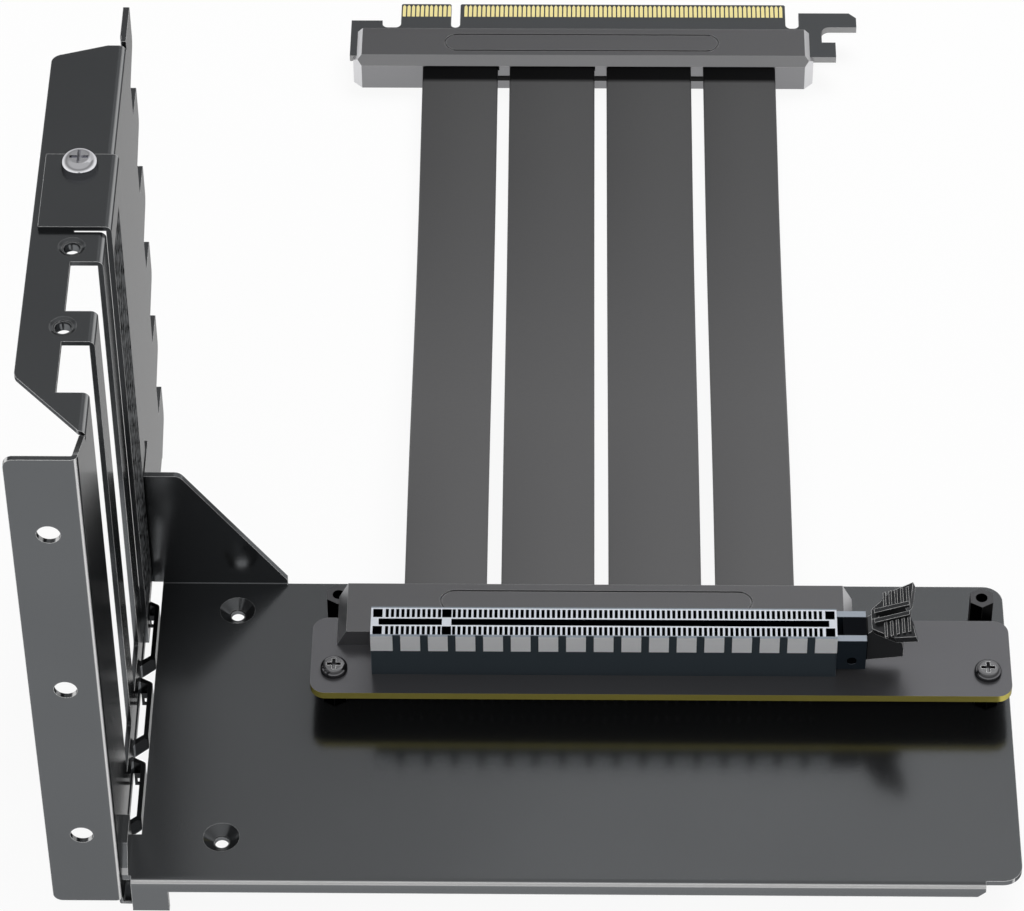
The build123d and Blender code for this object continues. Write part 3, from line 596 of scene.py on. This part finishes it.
def thread_collar(name, hole_mm, collar_mm):
    top = datum + Vector(hole_mm) * mm
    outer_r, wall_t, depth = (size * mm for size in collar_mm)
    bpy.ops.object.select_all(action="DESELECT")
    bpy.ops.mesh.primitive_cylinder_add(
        vertices=32, radius=outer_r, depth=depth, end_fill_type="NOTHING",
        location=(top.x, top.y, top.z - depth / 2),
    )
    collar = bpy.context.object
    collar.name = name
    wall = collar.modifiers.new("wall", "SOLIDIFY")
    wall.thickness = wall_t
    wall.offset = -1.0
    round_over = collar.modifiers.new("round_over", "BEVEL")
    round_over.width = collar_round_mm * mm
    round_over.segments = 2
    bpy.ops.object.modifier_apply(modifier="wall")
    bpy.ops.object.modifier_apply(modifier="round_over")
    bpy.ops.object.transform_apply(location=True, rotation=True, scale=True)
    bpy.ops.object.shade_smooth_by_angle(angle=smooth_angle)
    collar.data.materials.append(coat)
    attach(collar, "bracket")


for row in range(2):
    for kind, (across_mm, in_mm, top_mm), pitch_mm, collar_mm in (
        ("card", card_hole_mm, card_hole_pitch_mm, card_collar_mm),
        ("base", base_hole_mm, base_hole_pitch_mm, base_collar_mm),
    ):
        thread_collar(
            kind + "_screw_thread_" + str(row + 1),
            (across_mm, in_mm + pitch_mm * row, top_mm), collar_mm,
        )


# Foot fold: the slot plate's near corner runs down to the floor and folds in under the base. It
# is part of the same bent and coated sheet.
foot_corners_mm = ((-0.5, 1.7, -5.1), (-0.5, 9.0, -5.1), (-0.5, 1.7, -7.85), (-0.5, 9.0, -7.85))
foot_in_mm = 5.0
foot_t_mm = 1.0
foot_round_mm = 0.45
bpy.ops.object.select_all(action="DESELECT")
bpy.ops.mesh.primitive_plane_add(size=1.0, location=(0, 0, 0))
foot = bpy.context.object
foot.name = "plate_foot_fold"
for vertex, corner in zip(foot.data.vertices, foot_corners_mm):
    vertex.co = datum + Vector(corner) * mm
bpy.ops.object.mode_set(mode="EDIT")
bpy.ops.mesh.select_all(action="DESELECT")
bpy.ops.mesh.select_mode(type="EDGE")
bpy.ops.object.mode_set(mode="OBJECT")
middle_z = sum(vertex.co.z for vertex in foot.data.vertices) / len(foot.data.vertices)
for edge in foot.data.edges:
    edge.select = all(foot.data.vertices[index].co.z < middle_z for index in edge.vertices)
bpy.ops.object.mode_set(mode="EDIT")
bpy.ops.mesh.extrude_region_move(TRANSFORM_OT_translate={"value": (foot_in_mm * mm, 0, 0)})
bpy.ops.mesh.select_all(action="SELECT")
bpy.ops.mesh.normals_make_consistent(inside=False)
bpy.ops.object.mode_set(mode="OBJECT")
sheet = foot.modifiers.new("sheet", "SOLIDIFY")
sheet.thickness = foot_t_mm * mm
sheet.offset = 0.0
fold = foot.modifiers.new("fold", "BEVEL")
fold.width = foot_round_mm * mm
fold.segments = 3
bpy.ops.object.modifier_apply(modifier="sheet")
bpy.ops.object.modifier_apply(modifier="fold")
bpy.ops.object.shade_smooth_by_angle(angle=smooth_angle)
foot.data.materials.append(coat)
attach(foot, "bracket")


# Screws and posts: turned steel. The cover's screw is chromed and mirrors the room, the other
# screws are blackened, and the posts are zinc plated black. The crowns of the blackened screws
# and the tops of the posts are painted lighter as a highlight, and all their edges carry a
# painted highlight colour.
chrome = finish(
    "chrome_plate", "#e6e6ea", "#d0d0d4", rough=0.1, metal=1.0, grain_mm=0.4, edge_mm=0.15
)
# Painted highlights on the crowns of these screws and on the posts' tops.
blackened = finish(
    "black_oxide", "#6a6a6c", "#f4f4f4", rough=0.14, metal=0.95, grain_mm=0.4, edge_mm=0.25,
    top="#949496",
)
black_zinc = finish(
    "black_zinc", "#0c0c0d", "#4a4a4a", rough=0.3, metal=0.9, grain_mm=0.4, edge_mm=0.15,
    top="#6a6a6c",
)
wear(chrome, "slot_cover_screw")
wear(blackened, "gusset_screw", "board_screw_left", "board_screw_right")
wear(black_zinc, "near_post_left", "near_post_right", "far_post_left", "far_post_right")


# Boards: glass epoxy under a dark, glossy solder mask, which mirrors what stands on it. The
# laminate is bare at the cut edges, olive yellow on the riser and grey on the plug's card. Their
# edges carry a painted highlight, and the faces that look down are painted near black as shade.
cut_face = 0.5
board_underside_shade = "#1a1a1b"


def board_finish(name, mask_code, laminate, metal):
    paint = finish(
        name, mask_code, "#77777a", rough=0.24, metal=metal, grain_mm=0.6, edge_mm=0.15
    )
    tree = paint.node_tree
    level = add_node(tree, "ShaderNodeMath", {"operation": "ABSOLUTE"}, links={
        0: axes(tree, "Normal")["Z"],
    })
    cut = add_node(tree, "ShaderNodeMath", {"operation": "LESS_THAN"}, {1: cut_face}, {
        0: level.outputs[0],
    })
    lay_over(paint, laminate, cut.outputs[0])
    # Painted shade on the faces that look down.
    return paint_shade(paint, board_underside_shade, "Normal", "Z", -cut_face, above=False)


wear(board_finish("dark_solder_mask", "#747477", "#cabe60", metal=0.6), "riser_board")
wear(board_finish("edge_card_mask", "#56585a", "#a4a4a4", metal=0.5), "plug_board")


# Card slot: moulded from glass filled nylon, satin to the eye. Its crown and the blocks down its
# near side are painted pale as painted light; the wall below and the grooves are nearly black,
# and the insides of the cells are painted nearly black as shade. The crown's rims and the tops of
# the two cheeks at its right end are painted greyer, as a lesser painted highlight, the cheeks'
# sides are painted dark as shade, and its edges carry a painted highlight.
slot_wall = "#444d54"
slot_edge_highlight = "#8c949e"
cell_inside_shade = "#05080f"
block_painted_light = "#fcfdff"
cheek_side_shade = "#242c34"
cheek_top_highlight = "#a4acb6"
crown_painted_light = "#dfe4ec"
crown_rim_painted_light = "#8e96a0"
crown_mm = 0.05
skin_mm = 0.1
cell_from_mm = (0.5, 0.55)
cheek_mm = 5.6
rim_mm = 0.6
crown_faces_up = 0.7


def slot_finish():
    paint = finish(
        "nylon_painted_light_and_shade", slot_wall, slot_edge_highlight, rough=0.36, metal=0.3, grain_mm=0.5,
        edge_mm=0.12,
    )
    tree = paint.node_tree
    low, high = (Vector(corner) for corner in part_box("slot_housing"))
    spot = axes(tree, "Object")
    cheek_x = high.x - cheek_mm * mm
    crown, up, skin, body, cheek, near_rim, far_rim = (
        add_node(tree, "ShaderNodeMath", {"operation": operation}, {1: limit}, {
            0: value,
        }).outputs[0]
        for value, operation, limit in (
            (spot["Z"], "GREATER_THAN", high.z - crown_mm * mm),
            (axes(tree, "Normal")["Z"], "GREATER_THAN", crown_faces_up),
            (spot["Y"], "LESS_THAN", low.y + skin_mm * mm),
            (spot["X"], "LESS_THAN", cheek_x),
            (spot["X"], "GREATER_THAN", cheek_x),
            (spot["Y"], "LESS_THAN", low.y + rim_mm * mm),
            (spot["Y"], "GREATER_THAN", high.y - rim_mm / 2 * mm),
        )
    )
    block, arm_top, top = (
        add_node(tree, "ShaderNodeMath", {"operation": "MULTIPLY"}, links={
            0: first, 1: second,
        }).outputs[0]
        for first, second in ((skin, body), (cheek, up), (crown, up))
    )
    inside = add_node(tree, "ShaderNodeMapRange", inputs={
        "From Min": low.y + cell_from_mm[0] * mm, "From Max": low.y + cell_from_mm[1] * mm,
    }, links={"Value": spot["Y"]})
    rims = add_node(tree, "ShaderNodeMath", {"operation": "MAXIMUM"}, links={
        0: near_rim, 1: far_rim,
    })
    top_rims = add_node(tree, "ShaderNodeMath", {"operation": "MULTIPLY"}, links={
        0: top, 1: rims.outputs[0],
    })
    # Painted light on the crown, the blocks and the cheeks' tops, painted shade in the cells and
    # on the cheeks' sides.
    for code, where in (
        (cell_inside_shade, inside.outputs[0]),
        (block_painted_light, block),
        (cheek_side_shade, cheek),
        (cheek_top_highlight, arm_top),
        (crown_painted_light, top),
        (crown_rim_painted_light, top_rims.outputs[0]),
    ):
        lay_over(paint, code, where)
    return paint


# The springs are gold plated and glint in the cells, and the soldered tails are a pale tin grey.
# The edges of both carry a painted highlight.
gold_spring = finish(
    "gold_spring", "#9a7a34", "#c8a24c", rough=0.3, metal=0.9, grain_mm=0.3, edge_mm=0.05
)
tinned_tail = finish(
    "tinned_tail", "#a0a0a0", "#c8c8c8", rough=0.35, metal=0.9, grain_mm=0.3, edge_mm=0.05
)
wear(slot_finish(), "slot_housing")
wear(gold_spring, "slot_contacts")
wear(tinned_tail, "slot_pins")


# Latch: moulded from glossy dark nylon, with a painted white highlight along its edges. Its neck
# sits deep between the slot's two cheeks and is painted nearly black as shade.
neck_mm = 0.3
nylon = finish(
    "glossy_nylon", "#4c4d4f", "#ffffff", rough=0.22, metal=0.7, grain_mm=0.6, edge_mm=0.2
)
# Painted shade on the neck.
neck_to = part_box("slot_housing")[1][0] + neck_mm * mm
wear(paint_shade(nylon, "#0a0d12", "Object", "X", neck_to, above=False), "slot_latch")


# Cable covers and plug: moulded halves in a fine satin texture, with painted pale highlights at
# their corners. Their chamfered ends are painted palest and the slopes that look to the front
# pale too, as painted light, and the faces that look up are painted a shade darker, as painted
# shade.
chamfer_side = (0.62, 0.3)
slope_limit = -0.2


def moulding_finish():
    # Painted shade on the faces that look up.
    paint = finish(
        "satin_moulding", "#8e8e90", "#b8b8b8", rough=0.32, metal=0.9, grain_mm=0.5,
        edge_mm=0.15, top="#808082",
    )
    tree = paint.node_tree
    facing = axes(tree, "Normal")
    sideways = add_node(tree, "ShaderNodeMath", {"operation": "ABSOLUTE"}, links={
        0: facing["X"],
    })
    chamfer = add_node(tree, "ShaderNodeMath", {"operation": "COMPARE"}, {
        1: chamfer_side[0], 2: chamfer_side[1],
    }, {0: sideways.outputs[0]})
    sloped = add_node(tree, "ShaderNodeMath", {"operation": "MULTIPLY"}, links={
        0: facing["Y"], 1: facing["Z"],
    })
    slope = add_node(tree, "ShaderNodeMath", {"operation": "LESS_THAN"}, {1: slope_limit}, {
        0: sloped.outputs[0],
    })
    # Painted light on the chamfered ends and on the slopes that look to the front.
    lay_over(paint, "#e8e8ea", chamfer.outputs[0])
    lay_over(paint, "#bebec0", slope.outputs[0])
    return paint


wear(
    moulding_finish(),
    "cable_cover_upper", "cable_cover_lower", "plug_shell_upper", "plug_shell_lower",
)


# Plug slit: a dull black strip in the slit of the plug's front, where the ribbons go in. It
# stands for the shade in the slit and shows as a thin dark line: painted shade.
slit_shadow_out_mm = 0.15
slit_shadow_in_mm = 0.6
slit_shadow_short_mm = 1.0
slit_shadow_top_mm = 2.8
slit_shadow_bottom_mm = 4.1
slit_shadow_round_mm = 0.1
bpy.ops.object.select_all(action="DESELECT")
bpy.ops.mesh.primitive_cube_add(size=1.0, location=(0, 0, 0))
slit_shadow = bpy.context.object
slit_shadow.name = "plug_slit_shadow"
shell_low, shell_high = (Vector(corner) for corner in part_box("plug_shell_lower"))
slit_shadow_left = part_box("ribbon_1")[0][0] + slit_shadow_short_mm * mm
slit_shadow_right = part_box("ribbon_4")[1][0] - slit_shadow_short_mm * mm
for vertex in slit_shadow.data.vertices:
    vertex.co = Vector((
        slit_shadow_right if vertex.co.x > 0 else slit_shadow_left,
        shell_low.y + (slit_shadow_in_mm if vertex.co.y > 0 else -slit_shadow_out_mm) * mm,
        shell_high.z - (slit_shadow_top_mm if vertex.co.z > 0 else slit_shadow_bottom_mm) * mm,
    ))
slit_shadow_round = slit_shadow.modifiers.new("round_over", "BEVEL")
slit_shadow_round.width = slit_shadow_round_mm * mm
slit_shadow_round.segments = 2
bpy.ops.object.modifier_apply(modifier="round_over")
bpy.ops.object.shade_smooth_by_angle(angle=smooth_angle)
slit_shadow.data.materials.append(finish(
    "black_slit_shadow", "#0a0a0b", "#161617", rough=0.6, metal=0.0, grain_mm=0.5, edge_mm=0.1
))
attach(slit_shadow, "bracket")


# Fingers: hard gold plated on the card's copper. It is only a little metallic here, so that it
# keeps its pale yellow at any angle.
# The edges carry a painted highlight.
hard_gold = finish(
    "hard_gold", "#fff0a8", "#fffadc", rough=0.25, metal=0.22, grain_mm=0.4, edge_mm=0.05
)
wear(hard_gold, "plug_contacts")
